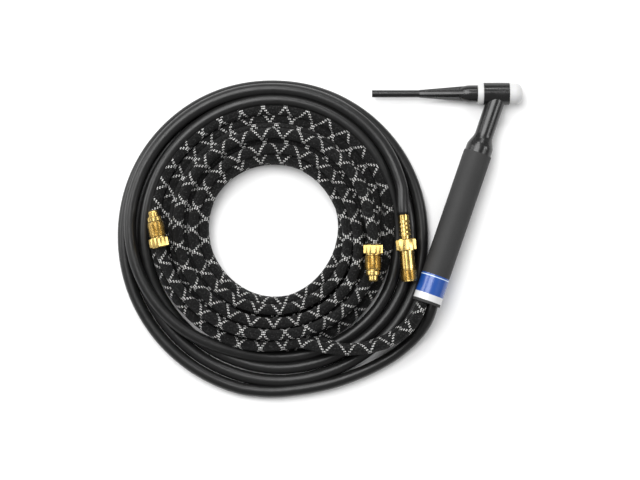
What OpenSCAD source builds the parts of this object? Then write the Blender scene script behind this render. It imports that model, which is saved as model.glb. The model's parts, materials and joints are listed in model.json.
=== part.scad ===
/* [Torch placement] */
// Lean of the handle from the straight-down direction
lean = 19.1; // [15:0.1:25]
// Lift of the handle end off the ground
tilt = 2.8; // [2.8:0.1:5]
// Height of the head axis above the ground
head_z = 10.4; // [10.4:0.1:14]

/* [Head] */
// Outer diameter of the moulded head sleeve
head_d = 20.8; // [20:0.2:24]
// Length of the head sleeve behind the neck axis
head_back = 13.8; // [12:0.2:18]
// Length of the head sleeve in front of the neck axis
head_front = 10; // [9:0.5:14]
// Outer diameter of the neck
neck_d = 17.1; // [16.5:0.1:19]
// Diameter of the shoulder where the neck meets the handle
shoulder_d = 25; // [24:0.2:26]
// Outer diameter of the brass head core
core_d = 13.1; // [12.8:0.1:14]
// Diameter of the threaded hole for the collet body
collet_hole_d = 8.74; // [8:0.02:9.4]

/* [Back cap] */
// Length of the back cap outside the head
cap_length = 98.4; // [60:0.1:120]
// Diameter of the slim stem of the back cap
cap_stem_d = 6.8; // [6:0.1:8]
// Diameter of the back cap where it meets the insulator
cap_base_d = 16; // [14:0.1:17]
// Number of grip fins on the back cap
cap_fins = 4; // [3:1:6]

/* [Nose cap] */
// Length of the white protective nose cap
nose_length = 12; // [11:0.5:16]
// Outer diameter of the nose cap
nose_d = 20; // [19:0.5:20.8]

/* [Handle] */
// Outer diameter of the handle
handle_d = 26.5; // [26:0.1:28]
// Inner diameter of the handle
handle_bore = 23.9; // [23.8:0.1:24.2]
// Distance from the head axis to the top of the handle
handle_start = 59; // [58:0.5:64]
// Distance from the head axis to the open end of the handle
handle_end = 206.7; // [205:0.1:215]
// Length of the wrap-round label
label_length = 24.7; // [15:0.1:40]

/* [Hoses] */
// Outer diameter of the water-cooled power cable
power_d = 11.2; // [10:0.1:11.4]
// Outer diameter of the braided water and gas hoses
braid_d = 10; // [9:0.1:10]

/* [Fittings] */
// Outer diameter of the male hose threads, 5/8 inch
thread_d = 15.88; // [15:0.01:16]
// Width across the flats of the hose nuts
nut_flats = 17.6; // [16:0.1:18]
// Width across the flats of the power nut
power_flats = 18.4; // [17:0.1:19]

/* [Hidden] */
$fn = 64;

fit = 0.05;           // radial clearance of a sliding or running fit
head_x = 47.8;        // head axis and neck axis cross here
head_y = 94.6;
ring_back = 19.3;     // rear face of the white rear insulator
shoulder_start = 41;  // distance from the head axis where the shoulder begins
brass = "goldenrod";
copper = "peru";
rubber = "#2b2b2d";
braid = "#1d1d20";
white = "whitesmoke";
phenolic = "#161618";

// The tubes run from a boss on the head core to the hoses, spreading a little.
// Each place is [across, up] from the handle axis.
power_neck = [4, 0];
power_in = [5.6, 0];
water_neck = [-2.9, 4];
water_in = [-4, 5.3];
gas_neck = [-2.9, -4];
gas_in = [-4, -5.3];
boss_d = 15.4;        // boss under the head core that holds the three tubes
boss_end = 8;         // distances from the head axis along the handle
power_tube_end = 128;
power_hose_start = 178;
braid_hose_start = 184;

// Coils, seen from above
coil_out = [-162.7, -37.5];
coil_out_r = 144.6;
coil_in = [-162, -31.2];
split_r = 115.5;      // boundary between the power cable and the braided hoses
braid_split_r = 88.2; // boundary between the water hose and the gas hose
hole_r = 60.5;
water_h = 20;
gas_h = 24.5;

// Free hose runs, hand-placed points after the straight run in the handle
power_run = [[-15.5, -107, 19.2], [-19, -117, 15.3], [-26, -128, 10.5], [-36, -138.5, 7],
    [-49, -149, 5.8], [-65, -158.5, 5.8], [-86, -168, 5.8], [-110, -176, 5.8],
    [-136, -181, 5.8], [-163, -183.5, 5.8], [-188, -181.5, 5.8]];
water_run = [[-26, -107, 26.6], [-30.5, -116, 27.2], [-40, -127, 27.6], [-56, -137, 27.6],
    [-79, -142.8, 27.5], [-101, -143.2, 26.8], [-123, -140, 25], [-138, -135, 19]];
gas_run = [[-26, -106.5, 15.6], [-31, -114, 16.2], [-41, -124, 16.5], [-56, -134, 16.6],
    [-78, -141.5, 16.6], [-100, -142.5, 16.4], [-117, -136.5, 16.3]];
power_tail_run = [[-60, 40, 14], [-49, 20, 20], [-43.3, 2, 24]];
water_tail_run = [[-251, -83, 18], [-259, -70, 26]];
gas_tail_run = [[-76, -5, 19], [-71, -22, 28]];

// Outer fittings: [x, y, z] of the rear of the nut and the way it points
power_fit = [-39.3, -40.6, 25];
power_turn = 5.2;
water_fit = [-266, -48.5, 30.8];
water_turn = 191.5;
gas_fit = [-69.5, -45.6, 30.8];
gas_turn = 0;

// ---- frames -------------------------------------------------------------

module in_torch() translate([head_x, head_y, head_z]) rotate([-tilt, 0, 0]) children();
// z runs forward along the head axis
module on_head() in_torch() rotate([0, 90, 0]) children();
// z runs down the handle, x across it and y up
module on_handle() in_torch() rotate([0, 0, -lean]) rotate([90, 0, 0]) children();
// z runs out of a fitting, which points along -Y turned by angle
module on_fitting(place, angle) translate(place) rotate([0, 0, angle]) rotate([90, 0, 0]) children();

function in_handle(s, at) = let (
        x = at.x * cos(lean) - s * sin(lean),
        y = -at.x * sin(lean) - s * cos(lean))
    [head_x + x, head_y + y * cos(tilt) + at.y * sin(tilt),
        head_z - y * sin(tilt) + at.y * cos(tilt)];
function fitting_point(place, angle, s) = place + s * [sin(angle), -cos(angle), 0];

// ---- shared shapes ------------------------------------------------------

function unit(v) = v / norm(v);
function tangents(p) = [for (i = [0:len(p) - 1])
    unit(p[min(i + 1, len(p) - 1)] - p[max(i - 1, 0)])];
function ring_points(c, t, r, sides) = let (
        side = unit(cross(t, [0, 0, 1])),
        up = cross(side, t))
    [for (k = [0:sides - 1]) c + r * (cos(360 * k / sides) * side + sin(360 * k / sides) * up)];

// A round hose swept along a list of points
module hose(path, d, sides = 12) {
    t = tangents(path);
    n = len(path);
    points = [for (i = [0:n - 1]) each ring_points(path[i], t[i], d / 2, sides)];
    walls = [for (i = [0:n - 2], k = [0:sides - 1]) let (a = i * sides + k,
            b = i * sides + (k + 1) % sides) [a, b, b + sides, a + sides]];
    polyhedron(points, concat(walls,
        [[for (k = [sides - 1:-1:0]) k], [for (k = [0:sides - 1]) (n - 1) * sides + k]]),
        convexity = 6);
}

// A straight rod between two places [across, up] at two distances down the handle,
// running on a little at both ends
module rod(place, from, last, to, r, past) {
    step = [last.x - place.x, last.y - place.y, to - from];
    translate([place.x, place.y, from]) rotate([0, acos(step.z / norm(step)), atan2(step.y, step.x)])
        rotate([0, 0, 90]) translate([0, 0, -past]) cylinder(h = norm(step) + 2 * past, r = r);
}

// A straight tube from the head core's boss into the handle
module neck_tube(place, last, to, r_out, r_in) on_handle() difference() {
    rod(place, boss_end + 0.2, last, to, r_out, 0);
    rod(place, boss_end + 0.2, last, to, r_in, 1);
}

module ring(r_out, r_in, h) difference() {
    cylinder(h = h, r = r_out);
    translate([0, 0, -1]) cylinder(h = h + 2, r = r_in);
}

module hexagon(flats, h) cylinder(h = h, r = flats / sqrt(3), $fn = 6);

// A ring of stacked hose turns with rounded outer edges
module turns(r_out, r_in, h, edge) difference() {
    rotate_extrude($fn = 128) {
        translate([r_in - 1, 0]) square([r_out - edge - r_in + 1, h]);
        translate([r_out - edge - 0.01, edge]) square([edge + 0.01, h - 2 * edge]);
        for (z = [edge, h - edge]) translate([r_out - edge, z]) circle(r = edge, $fn = 32);
    }
    translate([0, 0, -1]) cylinder(h = h + 2, r = r_in, $fn = 128);
}

// ---- head and neck ------------------------------------------------------

module head_insulation() color(phenolic) difference() {
    union() {
        on_head() translate([0, 0, -head_back]) cylinder(h = head_back + head_front, d = head_d);
        // neck, shoulder and the spigot that the handle slides over
        on_handle() rotate_extrude() polygon(concat([[0, 2], [neck_d / 2, 2]],
            [for (k = [0:6]) [neck_d / 2 + (shoulder_d - neck_d) / 4 * (1 - cos(k * 30)),
                shoulder_start + 13 * k / 6]],
            [[shoulder_d / 2, handle_start], [handle_bore / 2 - fit, handle_start],
                [handle_bore / 2 - fit, handle_start + 9], [0, handle_start + 9]]));
    }
    on_head() translate([0, 0, -head_back - 1])
        cylinder(h = head_back + head_front + 2, d = core_d + 2 * fit);
    on_handle() {
        cylinder(h = boss_end + fit, d = boss_d + 2 * fit);
        rod(power_neck, boss_end, power_in, power_tube_end, 3.2 + fit, 1);
        rod(water_neck, boss_end, water_in, braid_hose_start, 2.4 + fit, 1);
        rod(gas_neck, boss_end, gas_in, braid_hose_start, 2.4 + fit, 1);
        // the spigot is hollow
        translate([0, 0, handle_start - 2]) cylinder(h = 20, r = 9.8);
    }
}

module head_core() color(brass) difference() {
    union() {
        on_head() translate([0, 0, -head_back + 0.2])
            cylinder(h = head_back + head_front + 3.8, d = core_d);
        on_handle() cylinder(h = boss_end, d = boss_d);
    }
    on_head() {
        translate([0, 0, -head_back - 1]) cylinder(h = head_back - 0.5, r = 4.8);
        translate([0, 0, -head_back - 1]) cylinder(h = 40, r = 4.1);
        translate([0, 0, 1]) cylinder(h = 30, d = collet_hole_d);
    }
}

module rear_insulator() color(white) on_head() difference() {
    translate([0, 0, -ring_back]) rotate_extrude() polygon([[0, 0], [8.6, 0], [9.2, 0.5],
        [9.9, 3.2], [10, 4], [10, ring_back - head_back - 0.05], [0, ring_back - head_back - 0.05]]);
    translate([0, 0, -ring_back - 1]) cylinder(h = 12, r = 5.72);
}

module cup_gasket() color(white) on_head() translate([0, 0, head_front + 0.05])
    ring(8.6, core_d / 2 + fit, 2.2);

module nose_cap() color(white) on_head() translate([0, 0, head_front + 0.3]) difference() {
    rotate_extrude() {
        square([nose_d / 2, nose_length - 6.5]);
        translate([0, nose_length - 6.6]) square([nose_d / 2 - 6.5, 6.6]);
        translate([nose_d / 2 - 6.5, nose_length - 6.5]) intersection() {
            circle(r = 6.5);
            square(6.5);
        }
    }
    translate([0, 0, -1]) cylinder(h = 10.5, d = core_d + 2 * fit);
    translate([0, 0, -1]) cylinder(h = 3.4, r = 8.95);
}

// ---- back cap -----------------------------------------------------------

module back_cap() color(phenolic) on_head() translate([0, 0, -ring_back - 0.3]) difference() {
    union() {
        translate([0, 0, 0.3 - cap_length]) cylinder(h = cap_length - 5, d = cap_stem_d);
        // rounded cone and base collar
        translate([0, 0, -16]) rotate_extrude() polygon(concat([[0, -1]],
            [for (k = [0:8]) [cap_stem_d / 2 + (cap_base_d - cap_stem_d) / 2 * sin(k * 11.25),
                -1 + 11 * (1 - cos(k * 11.25))]],
            [[cap_base_d / 2, 16], [0, 16]]));
        // long tapering fins
        for (k = [0:cap_fins - 1]) rotate([0, 0, 90 + k * 360 / cap_fins]) rotate([90, 0, 0])
            linear_extrude(2.2, center = true)
                polygon([[0, -54], [cap_stem_d / 2 + 0.1, -54], [7.5, -7], [7.5, -3], [0, -3]]);
        // threaded spigot that screws into the head core
        cylinder(h = 11.3, r = 4.75);
    }
    translate([0, 0, 1.2]) ring(6, 4.2, 2.2);
    translate([0, 0, 4 - cap_length]) cylinder(h = 200, r = 1.7);
}

module back_cap_oring() color("#2a2a2a") on_head() translate([0, 0, -ring_back + 2])
    rotate_extrude() translate([4.95, 0]) circle(r = 0.7, $fn = 24);

// ---- tubes and joints inside the handle ---------------------------------

module power_tube() color(copper) neck_tube(power_neck, power_in, power_tube_end, 3.2, 2.2);
module water_tube() color(copper) neck_tube(water_neck, water_in, braid_hose_start - 0.1, 2.4, 1.6);
module gas_tube() color(copper) neck_tube(gas_neck, gas_in, braid_hose_start - 0.1, 2.4, 1.6);

module power_union_nut() color(brass) on_handle() translate([power_in.x, power_in.y, 124]) difference() {
    union() {
        hexagon(10.4, 12);
        translate([0, 0, 11.9]) cylinder(h = 6, r = 4.8);
    }
    translate([0, 0, -1]) cylinder(h = 5.02, r = 3.4);
    translate([0, 0, -1]) cylinder(h = 30, r = 2.2);
    translate([0, 0, 10]) cylinder(h = 20, r = 3.4);
}

module power_inner_nipple() color(brass) on_handle() translate([power_in.x, power_in.y, 134.1]) difference() {
    union() {
        cylinder(h = 42, r = 3.3);
        for (k = [0:4]) translate([0, 0, 22 + 4 * k]) cylinder(h = 3, r1 = 4, r2 = 3.3);
    }
    translate([0, 0, -1]) cylinder(h = 60, r = 2.2);
}

// Crimped sleeves over the ends of the hoses, with a lip against each hose
module crimp_sleeve(at, from, to, r_out, r_in) color(brass) on_handle()
    translate([at.x, at.y, from]) difference() {
        union() {
            cylinder(h = to - from, r = r_out - 0.3);
            for (k = [0:3]) translate([0, 0, (to - from) * (k + 0.25) / 4]) cylinder(h = 2, r = r_out);
        }
        translate([0, 0, -1]) cylinder(h = to - from + 2, r = r_in);
    }

module power_inner_ferrule() crimp_sleeve(power_in, 155, power_hose_start, 5.9, 4.05);
module water_inner_ferrule() crimp_sleeve(water_in, 166, braid_hose_start, 5.2, 2.8);
module gas_inner_ferrule() crimp_sleeve(gas_in, 166, braid_hose_start, 5.2, 2.8);

// ---- handle -------------------------------------------------------------

module handle() color("#454547") on_handle() translate([0, 0, handle_start + 0.1])
    ring(handle_d / 2, handle_bore / 2, handle_end - handle_start - 0.1);

module handle_label() color("royalblue") on_handle() translate([0, 0, handle_end - label_length - 2.5])
    ring(handle_d / 2 + 0.2, handle_d / 2 + 0.02, label_length);

// ---- hoses --------------------------------------------------------------

function in_line(at, from) = [for (s = [from, (from + handle_end) / 2, handle_end - 3])
    in_handle(s, at)];

module power_lead() color(rubber)
    hose(concat(in_line(power_in, power_hose_start), power_run), power_d);
module water_lead() color(braid)
    hose(concat(in_line(water_in, braid_hose_start), water_run), braid_d);
module gas_lead() color(braid)
    hose(concat(in_line(gas_in, braid_hose_start), gas_run), braid_d);

module power_coil() color(rubber) difference() {
    union() {
        translate([coil_out.x, coil_out.y, 0]) turns(coil_out_r, 110, power_d, power_d / 2 - 0.1);
        // the turns lie two deep at the far side
        translate([coil_out.x, coil_out.y + 3, power_d - 0.1]) rotate([0, 0, 20]) rotate_extrude(angle = 180)
            translate([112, 0]) square([22, power_d - 1]);
    }
    translate([coil_in.x, coil_in.y, -1]) cylinder(h = 60, r = split_r + 0.2, $fn = 128);
}

module water_coil() color(braid) translate([coil_in.x, coil_in.y, 0])
    turns(split_r, braid_split_r + 0.1, water_h, braid_d / 2);

module gas_coil() color(braid) translate([coil_in.x, coil_in.y, 0])
    turns(braid_split_r, hole_r, gas_h, braid_d / 2);

module power_tail() color(rubber)
    hose(concat(power_tail_run, [fitting_point(power_fit, power_turn, -30),
        fitting_point(power_fit, power_turn, -22.4)]), power_d);
module water_tail() color(braid)
    hose(concat(water_tail_run, [fitting_point(water_fit, water_turn, -8),
        fitting_point(water_fit, water_turn, 0)]), braid_d);
module gas_tail() color(braid)
    hose(concat(gas_tail_run, [fitting_point(gas_fit, gas_turn, -8),
        fitting_point(gas_fit, gas_turn, 0)]), braid_d);

// ---- outer fittings -----------------------------------------------------

// Ridged stem that holds the power cable, with a shoulder inside the nut
module power_barb() color(brass) on_fitting(power_fit, power_turn) difference() {
    union() {
        translate([0, 0, -22.3]) cylinder(h = 58, r = 4);
        translate([0, 0, -22.3]) cylinder(h = 21.9, r = 4.5);
        translate([0, 0, -21.5]) cylinder(h = 3.6, r = 4.9);
        // four raised ridges that grip the hose
        for (k = [0:3]) translate([0, 0, -17.2 + 3.9 * k]) cylinder(h = 2.5, r1 = 4.9, r2 = 5.8);
    }
    translate([0, 0, -30]) cylinder(h = 80, r = 2.6);
}

module power_nut() color(brass) on_fitting(power_fit, power_turn) difference() {
    union() {
        intersection() {
            hexagon(power_flats, 11);
            rotate_extrude() polygon([[0, 0], [9.4, 0], [10.6, 1], [10.6, 10], [9.4, 11], [0, 11]]);
        }
        translate([0, 0, 10.9]) cylinder(h = 18.2, r1 = 6.7, r2 = 7);
        translate([0, 0, 29]) cylinder(h = 9.4, d = thread_d);
        translate([0, 0, 38.3]) cylinder(h = 1.2, r1 = thread_d / 2, r2 = 6.9);
    }
    translate([0, 0, -1]) cylinder(h = 60, r = 4 + fit);
    translate([0, 0, 35.5]) cylinder(h = 5, r1 = 4.5, r2 = 6.2);
}

// Nipple of a braided hose: stem, seat collar and rounded nose
module hose_nipple(place, angle) color(brass) on_fitting(place, angle) difference() {
    union() {
        translate([0, 0, 0.1]) cylinder(h = 30, r = 3.5);
        translate([0, 0, 24.6]) rotate_extrude() polygon([[0, 0], [6.6, 0], [6.7, 0.4], [6.7, 3.4],
            [6.2, 4.2], [4.7, 4.4], [4.7, 8.2], [4.2, 9.4], [3, 10.2], [0, 10.2]]);
    }
    translate([0, 0, -1]) cylinder(h = 60, r = 2);
}

module hose_nut(place, angle) color(brass) on_fitting(place, angle) difference() {
    union() {
        intersection() {
            hexagon(nut_flats, 9);
            rotate_extrude() polygon([[0, 0], [9, 0], [10.2, 1], [10.2, 8], [9, 9], [0, 9]]);
        }
        translate([0, 0, 8.9]) cylinder(h = 1.2, r = 7);
        translate([0, 0, 10]) cylinder(h = 13.2, d = thread_d);
        translate([0, 0, 23.1]) cylinder(h = 1.1, r1 = thread_d / 2, r2 = 6.9);
    }
    translate([0, 0, -1]) cylinder(h = 40, r = 3.5 + fit);
    translate([0, 0, -1]) cylinder(h = 8, r = 5.6);
}

module hose_ferrule(place, angle) color(brass) on_fitting(place, angle)
    translate([0, 0, 0.1]) ring(5.2, 3.52, 6.4);

module water_nipple() hose_nipple(water_fit, water_turn);
module water_nut() hose_nut(water_fit, water_turn);
module water_ferrule() hose_ferrule(water_fit, water_turn);
module gas_nipple() hose_nipple(gas_fit, gas_turn);
module gas_nut() hose_nut(gas_fit, gas_turn);
module gas_ferrule() hose_ferrule(gas_fit, gas_turn);

head_insulation();
head_core();
rear_insulator();
cup_gasket();
nose_cap();
back_cap();
back_cap_oring();
power_tube();
water_tube();
gas_tube();
power_union_nut();
power_inner_nipple();
power_inner_ferrule();
water_inner_ferrule();
gas_inner_ferrule();
handle();
handle_label();
power_lead();
water_lead();
gas_lead();
power_coil();
water_coil();
gas_coil();
power_tail();
water_tail();
gas_tail();
power_barb();
power_nut();
water_nipple();
water_nut();
water_ferrule();
gas_nipple();
gas_nut();
gas_ferrule();
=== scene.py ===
"""The looks of a water-cooled TIG torch with its three hoses coiled beside it, seen from straight above."""

import json
import math

import bpy
import numpy as np
from mathutils import Matrix, Vector


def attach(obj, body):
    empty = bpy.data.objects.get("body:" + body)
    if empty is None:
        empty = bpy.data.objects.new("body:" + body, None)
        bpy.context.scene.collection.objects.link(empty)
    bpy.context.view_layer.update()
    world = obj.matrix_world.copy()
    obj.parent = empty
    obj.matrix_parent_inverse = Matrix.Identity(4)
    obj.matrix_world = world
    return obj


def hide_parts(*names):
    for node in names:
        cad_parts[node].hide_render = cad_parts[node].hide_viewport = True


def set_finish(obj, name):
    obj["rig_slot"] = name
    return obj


MM = 0.001

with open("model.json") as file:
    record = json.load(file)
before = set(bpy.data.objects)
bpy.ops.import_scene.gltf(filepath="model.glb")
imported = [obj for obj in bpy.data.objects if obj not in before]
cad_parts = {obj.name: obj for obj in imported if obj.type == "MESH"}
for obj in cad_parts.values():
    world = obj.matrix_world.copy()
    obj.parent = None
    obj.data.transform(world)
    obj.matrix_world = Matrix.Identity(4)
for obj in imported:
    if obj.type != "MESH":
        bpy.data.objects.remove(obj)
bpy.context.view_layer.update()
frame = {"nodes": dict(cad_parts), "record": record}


# ---- camera ---------------------------------------------------------------

def make_camera():
    """Looks straight down at the middle of the torch and its coil."""
    data = bpy.data.cameras.new("camera")
    data.lens, data.sensor_width = 120, 36
    camera = bpy.data.objects.new("camera", data)
    bpy.context.scene.collection.objects.link(camera)
    camera.location = (-0.1184, -0.0418, 2.0)
    bpy.context.scene.camera = camera


make_camera()


# ---- places on the torch and its fittings, in millimetres -----------------

HEAD = Vector((47.8, 94.6, 10.4))
TORCH = Matrix.Translation(HEAD) @ Matrix.Rotation(math.radians(-2.8), 4, "X")
HANDLE = TORCH @ Matrix.Rotation(math.radians(-19.1), 4, "Z") @ Matrix.Rotation(math.radians(90), 4, "X")
HANDLE_END = 206.7
POWER_D, BRAID_D = 11.2, 10.0
POWER_FIT, POWER_TURN = Vector((-39.3, -40.6, 25)), 5.2
WATER_FIT, WATER_TURN = Vector((-266, -48.5, 30.8)), 191.5
GAS_FIT, GAS_TURN = Vector((-69.5, -45.6, 30.8)), 0


def in_handle(place, start):
    """Three points inside the handle, from start down its axis to just short of the mouth."""
    return [tuple(HANDLE @ Vector((*place, s))) for s in (start, (start + HANDLE_END) / 2, HANDLE_END - 3)]


def at_fitting(place, turn, s):
    """A point on a fitting's axis, s out of its nut."""
    a = math.radians(turn)
    return tuple(place + s * Vector((math.sin(a), -math.cos(a), 0)))


# ---- the coil -------------------------------------------------------------

COIL = (-162.0, -31.2)  # the middle of the coil, seen from above


def keyed_turns(start, keys, squeeze=0.0, sag=0.0):
    """Points of a hose wound clockwise from the angle start, in degrees.

    keys are (degrees travelled, distance from the middle, height), and the hose eases from key to key.
    squeeze draws it in where the cable beside it takes more room, and sag lets it hang out at the near side.
    """
    keys = np.array(keys, float)
    travel = np.arange(keys[0, 0], keys[-1, 0] + 0.1, 3.0)
    radius, height = (np.interp(travel, keys[:, 0], keys[:, i]) for i in (1, 2))
    ease = np.hanning(13) / np.hanning(13).sum()
    radius, height = (np.convolve(np.pad(v, 6, "edge"), ease, "valid") for v in (radius, height))
    angle = np.radians(start - travel)
    radius = radius - squeeze * (radius - 62) / 50 * np.clip(np.cos(angle + 0.12), 0, 1) ** 6
    radius = radius + sag * np.clip(88 - radius, 0, 25) / 25 * np.clip(-np.sin(angle), 0, 1) ** 3
    radius = radius + 0.45 * np.sin(angle * 3.3 + travel / 97.0) + 0.3 * np.sin(travel / 23.0)
    return np.stack([COIL[0] + radius * np.cos(angle), COIL[1] + radius * np.sin(angle), height], 1)


def stacked_turns(start, places, first, last, shift):
    """Keys of a hose that lies in the first place for its first turn, the next for the next, and so on.

    It moves over between places while it travels through shift, the same part of every turn.
    """
    keys = [(first, *places[0])]
    for turn, (here, there) in enumerate(zip(places, places[1:])):
        keys += [(360 * turn + shift[0], *here), (360 * turn + shift[1], *there)]
    return keys + [(last, *places[-1])]


def smooth_path(points, step):
    """An even, rounded line through points: Catmull-Rom spans, eased, one point every step."""
    p = np.array(points, float)
    p = np.vstack([2 * p[0] - p[1], p, 2 * p[-1] - p[-2]])
    line = []
    for a, b, c, d in zip(p, p[1:], p[2:], p[3:]):
        for t in np.linspace(0, 1, 12, endpoint=False):
            line.append(0.5 * (2 * b + (c - a) * t + (2 * a - 5 * b + 4 * c - d) * t**2
                               + (3 * b - a - 3 * c + d) * t**3))
    line = even(np.array(line + [p[-2]]), step)
    ease = np.hanning(2 * int(9 / step) + 3)
    ease /= ease.sum()
    half = len(ease) // 2
    head, tail = 2 * line[0] - line[half:0:-1], 2 * line[-1] - line[-2:-half - 2:-1]
    padded = np.vstack([head, line, tail])
    return even(np.stack([np.convolve(padded[:, i], ease, "valid") for i in range(3)], 1), step)


def even(line, step):
    """The same line with a point every step along it."""
    gone = np.concatenate([[0], np.cumsum(np.linalg.norm(np.diff(line, axis=0), axis=1))])
    marks = np.linspace(0, gone[-1], max(2, round(gone[-1] / step) + 1))
    return np.stack([np.interp(marks, gone, line[:, i]) for i in range(3)], 1)


def tube(name, line, diameter, sides):
    """A mesh tube along line, in millimetres, with its UV map as (turn round it, millimetres along it)."""
    tangent = np.gradient(line, axis=0)
    tangent /= np.linalg.norm(tangent, axis=1)[:, None]
    side = np.cross(tangent[0], (0, 0, 1.0))
    rings, turn = [], np.linspace(0, 2 * math.pi, sides, endpoint=False)
    for at, along in zip(line, tangent):
        side = side - along * side.dot(along)
        side /= np.linalg.norm(side)
        up = np.cross(along, side)
        rings.append(at + diameter / 2 * (np.outer(np.cos(turn), side) + np.outer(np.sin(turn), up)))
    verts = np.vstack(rings + [line[:1], line[-1:]]) * MM
    n = len(line)
    faces, uvs = [], []
    gone = np.concatenate([[0], np.cumsum(np.linalg.norm(np.diff(line, axis=0), axis=1))])
    for i in range(n - 1):
        for j in range(sides):
            k = (j + 1) % sides
            faces.append((i * sides + j, i * sides + k, (i + 1) * sides + k, (i + 1) * sides + j))
            u, w = j / sides, (j + 1) / sides
            uvs += [(u, gone[i]), (w, gone[i]), (w, gone[i + 1]), (u, gone[i + 1])]
    for j in range(sides):
        k = (j + 1) % sides
        faces.append((n * sides, k, j))
        faces.append((n * sides + 1, (n - 1) * sides + j, (n - 1) * sides + k))
        uvs += [(0.5, 0), (0.5, 0), (0.5, 0)] * 2
    mesh = bpy.data.meshes.new(name)
    mesh.from_pydata(verts.tolist(), [], faces)
    layer = mesh.uv_layers.new(name="hose")
    layer.data.foreach_set("uv", np.array(uvs, np.float32).ravel())
    mesh.polygons.foreach_set("use_smooth", [True] * len(faces))
    obj = bpy.data.objects.new(name, mesh)
    bpy.context.scene.collection.objects.link(obj)
    return obj


# ---- the brass nuts -------------------------------------------------------

THREAD_R, THREAD_PITCH = 7.94, 1.41  # the 5/8 inch male thread, 18 to the inch
THREAD_STEP = 0.2  # between the rings of a thread
HOSE_FLATS, POWER_FLATS = 17.6, 18.4  # across the flats


def at_nut(place, turn):
    """Turns a nut's own frame, z out of the fitting, into the row frame."""
    return (Matrix.Translation(place) @ Matrix.Rotation(math.radians(turn), 4, "Z")
            @ Matrix.Rotation(math.radians(90), 4, "X"))


def nut_rings(flats, outline, bore, thread, turns):
    """The rings (s, radii round it) of a nut, from its hexagon to its far end and back through its bore."""
    pitch, depth = thread
    hexagon = flats / 2 / np.cos((turns + math.pi / 6) % (math.pi / 3) - math.pi / 6)
    rings = []
    for (s, r, kind), (s2, r2, _) in zip(outline, outline[1:] + [(*bore[0], "round")]):
        steps = max(1, round((s2 - s) / THREAD_STEP)) if kind == "thread" else 1
        for t in np.arange(steps) / steps:
            here = np.full(len(turns), r + (r2 - r) * t)
            if kind == "hex":
                here = np.minimum(here, hexagon)
            if kind == "thread":
                turned = (s + (s2 - s) * t) / pitch - turns / (2 * math.pi)
                here = here - depth * np.clip(1.6 * np.abs((turned % 1) * 2 - 1) - 0.3, 0, 1)
            rings.append((s + (s2 - s) * t, here))
    return rings + [(s, np.full(len(turns), float(r))) for s, r in bore]


def nut(name, node, place, turn, flats, outline, bore, thread):
    """A turned nut in place of its CAD node: a chamfered hexagon, then a round outline with a helical thread.

    outline is (s, radius, kind), kind "hex", "round" or "thread"; bore is (s, radius) from the far end
    back; thread is (pitch, depth). The six flats are shaded flat and the rest smooth.
    """
    sides = 72
    turns = np.linspace(0, 2 * math.pi, sides, endpoint=False)
    rings = nut_rings(flats, outline, bore, thread, turns)
    verts = [(r * math.cos(a), r * math.sin(a), s) for s, ring in rings for r, a in zip(ring, turns)]
    faces = []
    for i in range(len(rings)):
        for j in range(sides):
            k, n = (j + 1) % sides, (i + 1) % len(rings)
            faces.append((i * sides + j, i * sides + k, n * sides + k, n * sides + j))
    mesh = bpy.data.meshes.new(name)
    mesh.from_pydata(verts, [], faces)
    mesh.transform(Matrix.Scale(MM, 4) @ at_nut(place, turn))
    plain = [kind == "hex" and r == r2 for (_, r, kind), (_, r2, _) in zip(outline, outline[1:])]
    smooth = [not (row < len(plain) and plain[row]) for row in range(len(rings)) for _ in turns]
    mesh.polygons.foreach_set("use_smooth", smooth)
    mesh.set_sharp_from_angle(angle=math.radians(25))
    obj = bpy.data.objects.new(name, mesh)
    bpy.context.scene.collection.objects.link(obj)
    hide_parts(node)
    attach(obj, node)
    return obj


def hose_nut(name, node, place, turn):
    """The nut of a braided hose, with the cone of its nipple inside."""
    outline = [(0, 8.2, "hex"), (0.9, 10.2, "hex"), (8.1, 10.2, "hex"), (9, 8.8, "hex"), (9.02, 7, "round"),
               (10, 7, "round"), (10.2, 7.3, "round"), (10.8, THREAD_R, "thread"), (22.6, THREAD_R, "thread"),
               (24.1, 6.9, "round")]
    bore = [(24.15, 6.6), (24.1, 3.6), (7.1, 3.6), (7, 5.6), (0, 5.6)]
    return nut(name, node, place, turn, HOSE_FLATS, outline, bore, (THREAD_PITCH, 0.55))


def power_nut():
    """The long nut of the power cable."""
    outline = [(0, 8.9, "hex"), (1, 10.6, "hex"), (10, 10.6, "hex"), (11, 9.2, "hex"), (11.02, 6.7, "round"),
               (27.6, 7, "round"), (28, 6.5, "round"), (28.9, 6.5, "round"), (29, 7.6, "round"),
               (29.4, THREAD_R, "thread"), (38.2, THREAD_R, "thread"), (39.4, 6.9, "round")]
    bore = [(39.45, 6.2), (35.6, 4.6), (35.4, 4.1), (0, 4.1)]
    return nut("power_nut_turned", "power_nut", POWER_FIT, POWER_TURN, POWER_FLATS, outline, bore,
               (THREAD_PITCH, 0.5))


nuts = [power_nut(), hose_nut("water_nut_turned", "water_nut", WATER_FIT, WATER_TURN),
        hose_nut("gas_nut_turned", "gas_nut", GAS_FIT, GAS_TURN)]


# ---- the three hoses ------------------------------------------------------

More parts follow.
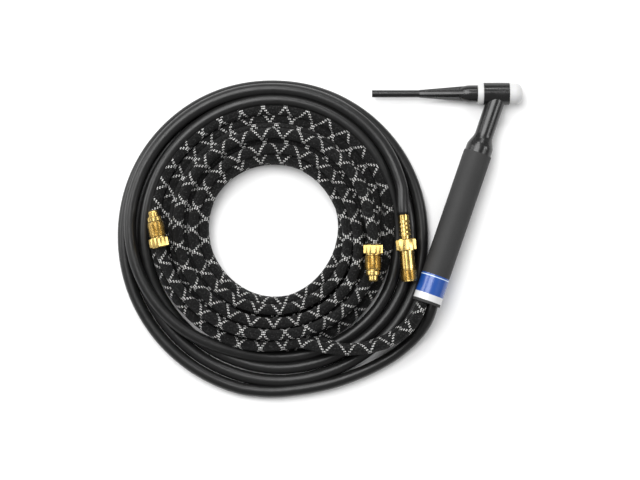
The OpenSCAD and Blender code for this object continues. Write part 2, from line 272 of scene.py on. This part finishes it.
def power_line():
    """The smooth power cable: out of the handle, round the outside of the coil, up to its fitting."""
    lead = [(-15.5, -107, 19.2), (-19, -117, 15.3), (-26, -128, 10.5), (-36, -138.5, 7), (-49, -149, 5.8),
            (-65, -158.5, 5.8), (-86, -168, 5.8), (-110, -176, 5.8), (-136, -181, 5.8), (-163, -183.5, 5.8)]
    floor = 5.7
    keys = [
        (9.8, 152.5, floor), (50, 146, floor), (90, 139.9, floor), (135, 135.5, floor), (180, 133, floor),
        (225, 135, floor), (270, 138.6, floor), (303, 145.6, floor), (360, 142.4, floor),
        (405, 134.8, floor), (450, 128.4, floor), (495, 124, floor), (540, 121.7, floor), (585, 123.7, floor),
        (630, 127.2, floor), (663, 134.4, floor), (720, 131.1, floor),
        (740, 127, 5.8), (765, 123.2, 6.4), (810, 119.6, 13.6), (855, 119.4, 15.8), (900, 119.3, 16.6),
        (945, 118.5, 16), (970, 117, 12.6), (990, 116.6, 7), (1023, 122.8, floor), (1080, 119.8, floor),
        (1100, 120, 12.5), (1125, 127.5, 16.8), (1150, 131.5, 16.8), (1170, 133, 15.9), (1215, 131.6, 16.3),
        (1260, 130.4, 16.7), (1290, 129.8, 16.9), (1315, 128, 17.9), (1326, 125.8, 20.8), (1334, 123.9, 23.4)]
    tail = [at_fitting(POWER_FIT, POWER_TURN, s) for s in (-30, -22.4)]
    return smooth_path([*in_handle((5.6, 0), 178), *lead, *keyed_turns(-90, keys), *tail], 2.6)


def water_line():
    """The braided water hose: over the cable, round the outer half of the braided ring, up to its fitting."""
    lead = [(-26, -107, 26.6), (-30.5, -116, 27.2), (-40, -127, 27.6), (-56, -137, 27.6), (-79, -142.8, 27.5),
            (-101, -143.2, 26.8), (-123, -140, 25)]
    places = [(111, 15), (111, 5.2), (101.9, 10), (93.3, 5.2), (93.3, 15), (101.5, 20)]
    keys = stacked_turns(-77, places, 30, 1840, (263, 313))
    keys[0:0] = [(0, 106.8, 20)]
    keys[-1:] = [(1775, 100, 22.6), (1815, 99, 24), (1850, 100.5, 24), (1873, 103, 25.5), (1881, 104.2, 27.5)]
    tail = [at_fitting(WATER_FIT, WATER_TURN, s) for s in (-8, 0)]
    return smooth_path([*in_handle((-4, 5.3), 184), *lead, *keyed_turns(-77, keys, 3.2), *tail], 1.75)


def gas_line():
    """The braided gas hose: under the water hose, round the inner half of the ring, to its fitting."""
    lead = [(-26, -106.5, 15.6), (-31, -114, 16.2), (-41, -124, 16.5), (-56, -134, 16.6), (-78, -141.5, 16.6),
            (-100, -142.5, 16.4)]
    places = [(83, 15), (83, 5.2), (74.2, 10), (65.5, 5.2), (65.5, 15), (74.2, 19.9), (87.6, 23.2)]
    keys = stacked_turns(-68, places, 60, 2400, (272, 322))
    keys[0:0] = [(0, 114.2, 15.6), (20, 102, 12.5), (40, 88, 12.5)]
    keys[-1:] = [(2400, 88.6, 23.4), (2426, 90, 25), (2437, 91.2, 27.6)]
    tail = [at_fitting(GAS_FIT, GAS_TURN, s) for s in (-8, 0)]
    return smooth_path([*in_handle((-4, -5.3), 184), *lead, *keyed_turns(-68, keys, 3.2, 3.4), *tail], 1.75)


def lay_hose(name, line, diameter, sides, slot, nodes):
    """One hose that stands for its CAD solids, which it hides."""
    hose = tube(name, line, diameter, sides)
    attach(hose, "torch")
    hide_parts(*nodes)
    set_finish(hose, slot)
    return hose


hoses = {
    "power_hose": lay_hose("power_hose", power_line(), POWER_D, 28, "smooth_hose",
                           ("power_lead", "power_coil", "power_tail")),
    "water_hose": lay_hose("water_hose", water_line(), BRAID_D, 24, "braided_hose",
                           ("water_lead", "water_coil", "water_tail")),
    "gas_hose": lay_hose("gas_hose", gas_line(), BRAID_D, 24, "braided_hose",
                         ("gas_lead", "gas_coil", "gas_tail")),
}


# ---- materials ------------------------------------------------------------

class Nodes:
    """A short way to write a procedural material."""

    def __init__(self, name):
        self.material = bpy.data.materials.new(name)
        self.material.use_nodes = True
        self.tree = self.material.node_tree
        self.shader = self.tree.nodes["Principled BSDF"]

    def add(self, kind, **settings):
        node = self.tree.nodes.new(kind)
        for key, value in settings.items():
            setattr(node, key, value)
        return node

    def put(self, socket, value):
        """Joins value to socket, or sets it where value is a plain number or colour."""
        if isinstance(value, bpy.types.NodeSocket):
            self.tree.links.new(value, socket)
        else:
            socket.default_value = value
        return socket

    def math(self, operation, *values):
        node = self.add("ShaderNodeMath", operation=operation)
        for socket, value in zip(node.inputs, values):
            self.put(socket, value)
        return node.outputs[0]

    def ramp(self, value, low, high, out_low=0.0, out_high=1.0):
        """Eases from out_low to out_high as value goes from low to high."""
        node = self.add("ShaderNodeMapRange", interpolation_type="SMOOTHSTEP")
        for socket, number in zip(node.inputs, (value, low, high, out_low, out_high)):
            self.put(socket, number)
        return node.outputs[0]

    def mix(self, factor, a, b):
        node = self.add("ShaderNodeMix", data_type="RGBA")
        self.put(node.inputs[0], factor)
        self.put(node.inputs[6], a)
        self.put(node.inputs[7], b)
        return node.outputs[2]

    def noise(self, scale, detail=3.0, stretch=None):
        place = self.add("ShaderNodeTexCoord").outputs["Object"]
        if stretch:
            mapping = self.add("ShaderNodeMapping")
            self.put(mapping.inputs["Vector"], place)
            mapping.inputs["Scale"].default_value = stretch
            place = mapping.outputs[0]
        node = self.add("ShaderNodeTexNoise")
        self.put(node.inputs["Vector"], place)
        node.inputs["Scale"].default_value = scale
        node.inputs["Detail"].default_value = detail
        return node.outputs[0]

    def bump(self, height, strength, distance):
        node = self.add("ShaderNodeBump")
        self.put(node.inputs["Height"], height)
        node.inputs["Strength"].default_value = strength
        node.inputs["Distance"].default_value = distance
        self.put(self.shader.inputs["Normal"], node.outputs[0])

    def set(self, **inputs):
        for key, value in inputs.items():
            self.put(self.shader.inputs[key.replace("_", " ")], value)
        return self


def grey(value):
    return (value, value, value, 1)


def phenolic():
    """Satin black moulding with faint flow marks."""
    m = Nodes("phenolic")
    flow = m.noise(240, 3)
    m.set(Base_Color=m.mix(flow, grey(0.004), grey(0.009)),
          Roughness=m.ramp(m.noise(90), 0.3, 0.7, 0.21, 0.29))
    m.put(m.shader.inputs["Specular IOR Level"], 0.5)
    m.bump(flow, 0.04, 0.0004)
    return m.material


def white_ptfe():
    """Off-white turned fluoropolymer."""
    m = Nodes("white_ptfe")
    cloud = m.noise(60, 2)
    m.set(Base_Color=m.mix(cloud, grey(0.5), grey(0.57)), Roughness=0.5,
          Subsurface_Weight=0.15)
    m.shader.inputs["Subsurface Radius"].default_value = (0.003, 0.003, 0.002)
    m.bump(m.noise(500, 2), 0.05, 0.0003)
    return m.material


def brass():
    """Turned brass with fine machining marks and slight tarnish."""
    m = Nodes("brass")
    tarnish = m.ramp(m.noise(110, 4), 0.35, 0.75)
    m.set(Base_Color=m.mix(tarnish, (0.58, 0.42, 0.15, 1), (0.42, 0.28, 0.08, 1)), Metallic=1.0,
          Roughness=m.ramp(m.noise(160, 2), 0.2, 0.8, 0.22, 0.28))
    return m.material


def copper():
    """Drawn copper, dulled."""
    m = Nodes("copper")
    m.set(Base_Color=m.mix(m.noise(80), (0.8, 0.38, 0.22, 1), (0.5, 0.22, 0.13, 1)), Metallic=1.0,
          Roughness=m.ramp(m.noise(200), 0.3, 0.7, 0.28, 0.4))
    return m.material


def seal_rubber():
    m = Nodes("seal_rubber")
    m.set(Base_Color=m.mix(m.noise(300), grey(0.012), grey(0.03)), Roughness=0.5)
    return m.material


def handle_plastic():
    """Charcoal plastic with a fine moulded grain."""
    m = Nodes("handle_plastic")
    grain = m.noise(1400, 2)
    m.set(Base_Color=m.mix(m.noise(40, 4), grey(0.024), grey(0.031)),
          Roughness=m.ramp(grain, 0.3, 0.7, 0.58, 0.7))
    m.put(m.shader.inputs["Specular IOR Level"], 0.3)
    m.bump(grain, 0.12, 0.0003)
    return m.material


def label():
    """Printed film: a blue field with one fine pale line, and a white strip at the hose end."""
    m = Nodes("label")
    place = m.add("ShaderNodeTexCoord").outputs["Object"]
    axis = HANDLE.to_3x3() @ Vector((0, 0, 1))
    dot = m.add("ShaderNodeVectorMath", operation="DOT_PRODUCT")
    m.put(dot.inputs[0], place)
    dot.inputs[1].default_value = axis
    start = axis.dot(HANDLE.translation)
    along = m.math("SUBTRACT", m.math("MULTIPLY", dot.outputs["Value"], 1000.0), start)
    strip = m.ramp(along, HANDLE_END - 8.9, HANDLE_END - 8.6)
    stripe = m.math("MULTIPLY", m.ramp(along, HANDLE_END - 25.9, HANDLE_END - 25.7),
                    m.ramp(along, HANDLE_END - 25.1, HANDLE_END - 24.9, 1, 0))
    blue = m.mix(m.noise(200), (0.008, 0.055, 0.27, 1), (0.012, 0.075, 0.33, 1))
    colour = m.mix(stripe, blue, (0.55, 0.68, 0.85, 1))
    m.set(Base_Color=m.mix(strip, colour, (0.62, 0.62, 0.62, 1)), Roughness=0.26, Coat_Weight=0.3)
    m.shader.inputs["Coat Roughness"].default_value = 0.12
    return m.material


def smooth_hose():
    """Satin rubber with faint streaks along it."""
    m = Nodes("smooth_hose")
    uv = m.add("ShaderNodeUVMap", uv_map="hose").outputs[0]
    stretch = m.add("ShaderNodeMapping")
    m.put(stretch.inputs["Vector"], uv)
    stretch.inputs["Scale"].default_value = (40, 0.15, 1)
    streak = m.add("ShaderNodeTexNoise")
    m.put(streak.inputs["Vector"], stretch.outputs[0])
    streak.inputs["Scale"].default_value = 1.0
    scuff = m.noise(70, 4)
    m.set(Base_Color=m.mix(streak.outputs[0], grey(0.004), grey(0.011)),
          Roughness=m.ramp(m.math("ADD", scuff, streak.outputs[0]), 0.7, 1.3, 0.3, 0.4))
    m.put(m.shader.inputs["Specular IOR Level"], 0.38)
    m.bump(m.math("ADD", streak.outputs[0], m.noise(600, 2)), 0.12, 0.0004)
    return m.material


def braided_hose():
    """Black braid with white tracer yarns that cross once in every pitch on each side."""
    pitch, carriers, flecks = 20.5, 16, 7
    m = Nodes("braided_hose")
    split = m.add("ShaderNodeSeparateXYZ")
    m.put(split.inputs[0], m.add("ShaderNodeUVMap", uv_map="hose").outputs[0])
    along = split.outputs[1]
    roll = m.math("MULTIPLY", m.math("SINE", m.math("MULTIPLY", along, 0.013)), 0.16)
    around = m.math("ADD", m.math("ADD", split.outputs[0], 0.25), roll)
    wobble = m.math("MULTIPLY", m.math("SUBTRACT", m.noise(260, 2), 0.5), 0.05)
    turns = m.math("ADD", m.math("DIVIDE", along, pitch), wobble)
    right, left = m.math("SUBTRACT", around, turns), m.math("ADD", around, turns)

    def yarns(helix):
        """Round yarns side by side on one helix."""
        return m.math("SINE", m.math("MULTIPLY", helix, 2 * math.pi * carriers))

    def tracer(helix, other):
        """Two white yarns together, seen only where they lie over the other set."""
        away = m.math("ABSOLUTE", m.math("SUBTRACT", m.math("FRACT", helix), 0.5))
        band = m.ramp(away, 0.054, 0.064, 1, 0)
        gap = m.ramp(away, 0.001, 0.006)
        second = m.math("MULTIPLY", m.math("GREATER_THAN", m.math("FRACT", helix), 0.5), 0.8 * math.pi)
        beat = m.math("SINE", m.math("ADD", m.math("MULTIPLY", other, 2 * math.pi * flecks), second))
        return m.math("MULTIPLY", m.math("MULTIPLY", band, gap), m.ramp(beat, 0.15, 0.5))

    one, two = yarns(right), yarns(left)
    weave = m.math("MULTIPLY", one, two)
    worn = m.ramp(m.noise(420, 2), 0.34, 0.5, 0.5, 1)
    white = m.math("MULTIPLY", worn, m.math("MAXIMUM", tracer(right, left), tracer(left, right)))
    thread = m.mix(m.ramp(weave, -1, 1), grey(0.0015), grey(0.011))
    # painted highlight: scattered grey patches on the black braid stand in for light glinting off the weave;
    # the same mask also raises the bump
    painted_glint = m.ramp(m.noise(650, 2), 0.5, 0.68)
    colour = m.mix(m.math("MULTIPLY", painted_glint, 0.9), thread, grey(0.036))
    m.set(Base_Color=m.mix(white, colour, (1, 1, 0.98, 1)), Roughness=m.ramp(white, 0, 1, 0.62, 0.8),
          Sheen_Weight=0.03)
    m.put(m.shader.inputs["Specular IOR Level"], 0.12)
    m.bump(m.math("ADD", m.math("ADD", weave, painted_glint), m.math("MULTIPLY", white, 1.5)), 0.8, 0.0007)
    return m.material


MAKERS = (phenolic, white_ptfe, brass, copper, seal_rubber, handle_plastic, label, smooth_hose,
          braided_hose)
FINISHES = {make.__name__: make() for make in MAKERS}


def finish_with(obj, slot):
    """Gives obj the material of a slot in the record."""
    obj.data.materials.clear()
    obj.data.materials.append(FINISHES[slot])
    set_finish(obj, slot)


SLOTS = {s["node"]: s["material_slot"] for s in frame["record"]["subparts"]}
for node, obj in frame["nodes"].items():
    finish_with(obj, SLOTS[node])
for obj in hoses.values():
    finish_with(obj, obj["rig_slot"])
for obj in nuts:
    finish_with(obj, "brass")


# ---- stage and light ------------------------------------------------------

def plain_colours():
    """Shows whites as white, as a catalogue picture does."""
    bpy.context.scene.view_settings.view_transform = "Standard"
    bpy.context.scene.view_settings.look = "None"


def floor():
    mesh = bpy.data.meshes.new("floor")
    mesh.from_pydata([(-4, -4, 0), (4, -4, 0), (4, 4, 0), (-4, 4, 0)], [], [(0, 1, 2, 3)])
    obj = bpy.data.objects.new("floor", mesh)
    bpy.context.scene.collection.objects.link(obj)
    obj.location.z = -0.0002
    m = Nodes("floor")
    m.set(Base_Color=(0.9, 0.9, 0.9, 1), Roughness=0.9)
    m.put(m.shader.inputs["Specular IOR Level"], 0.1)
    mesh.materials.append(m.material)


def area_light(name, place, aim, size, power):
    data = bpy.data.lights.new(name, "AREA")
    data.shape, data.energy = "RECTANGLE", power
    data.size, data.size_y = size
    light = bpy.data.objects.new(name, data)
    bpy.context.scene.collection.objects.link(light)
    light.location = place
    light.rotation_mode = "QUATERNION"
    light.rotation_quaternion = (Vector(aim) - Vector(place)).to_track_quat("-Z", "Y")


def sky(strength):
    world = bpy.data.worlds.new("sky")
    world.use_nodes = True
    world.node_tree.nodes["Background"].inputs["Color"].default_value = (1, 1, 1, 1)
    world.node_tree.nodes["Background"].inputs["Strength"].default_value = strength
    bpy.context.scene.world = world


plain_colours()
floor()
sky(0.34)
area_light("key", (-0.6, 0.6, 1.6), (-0.12, -0.04, 0), (1.2, 1.2), 30)
area_light("side", (-1.7, 0.35, 0.75), (-0.12, -0.04, 0), (1.0, 0.8), 13)
area_light("fill", (1.3, 0.1, 1.1), (-0.12, -0.04, 0), (0.4, 0.8), 8)
area_light("strip", (-0.1, 1.2, 0.9), (0, 0.08, 0), (1.6, 0.12), 8)
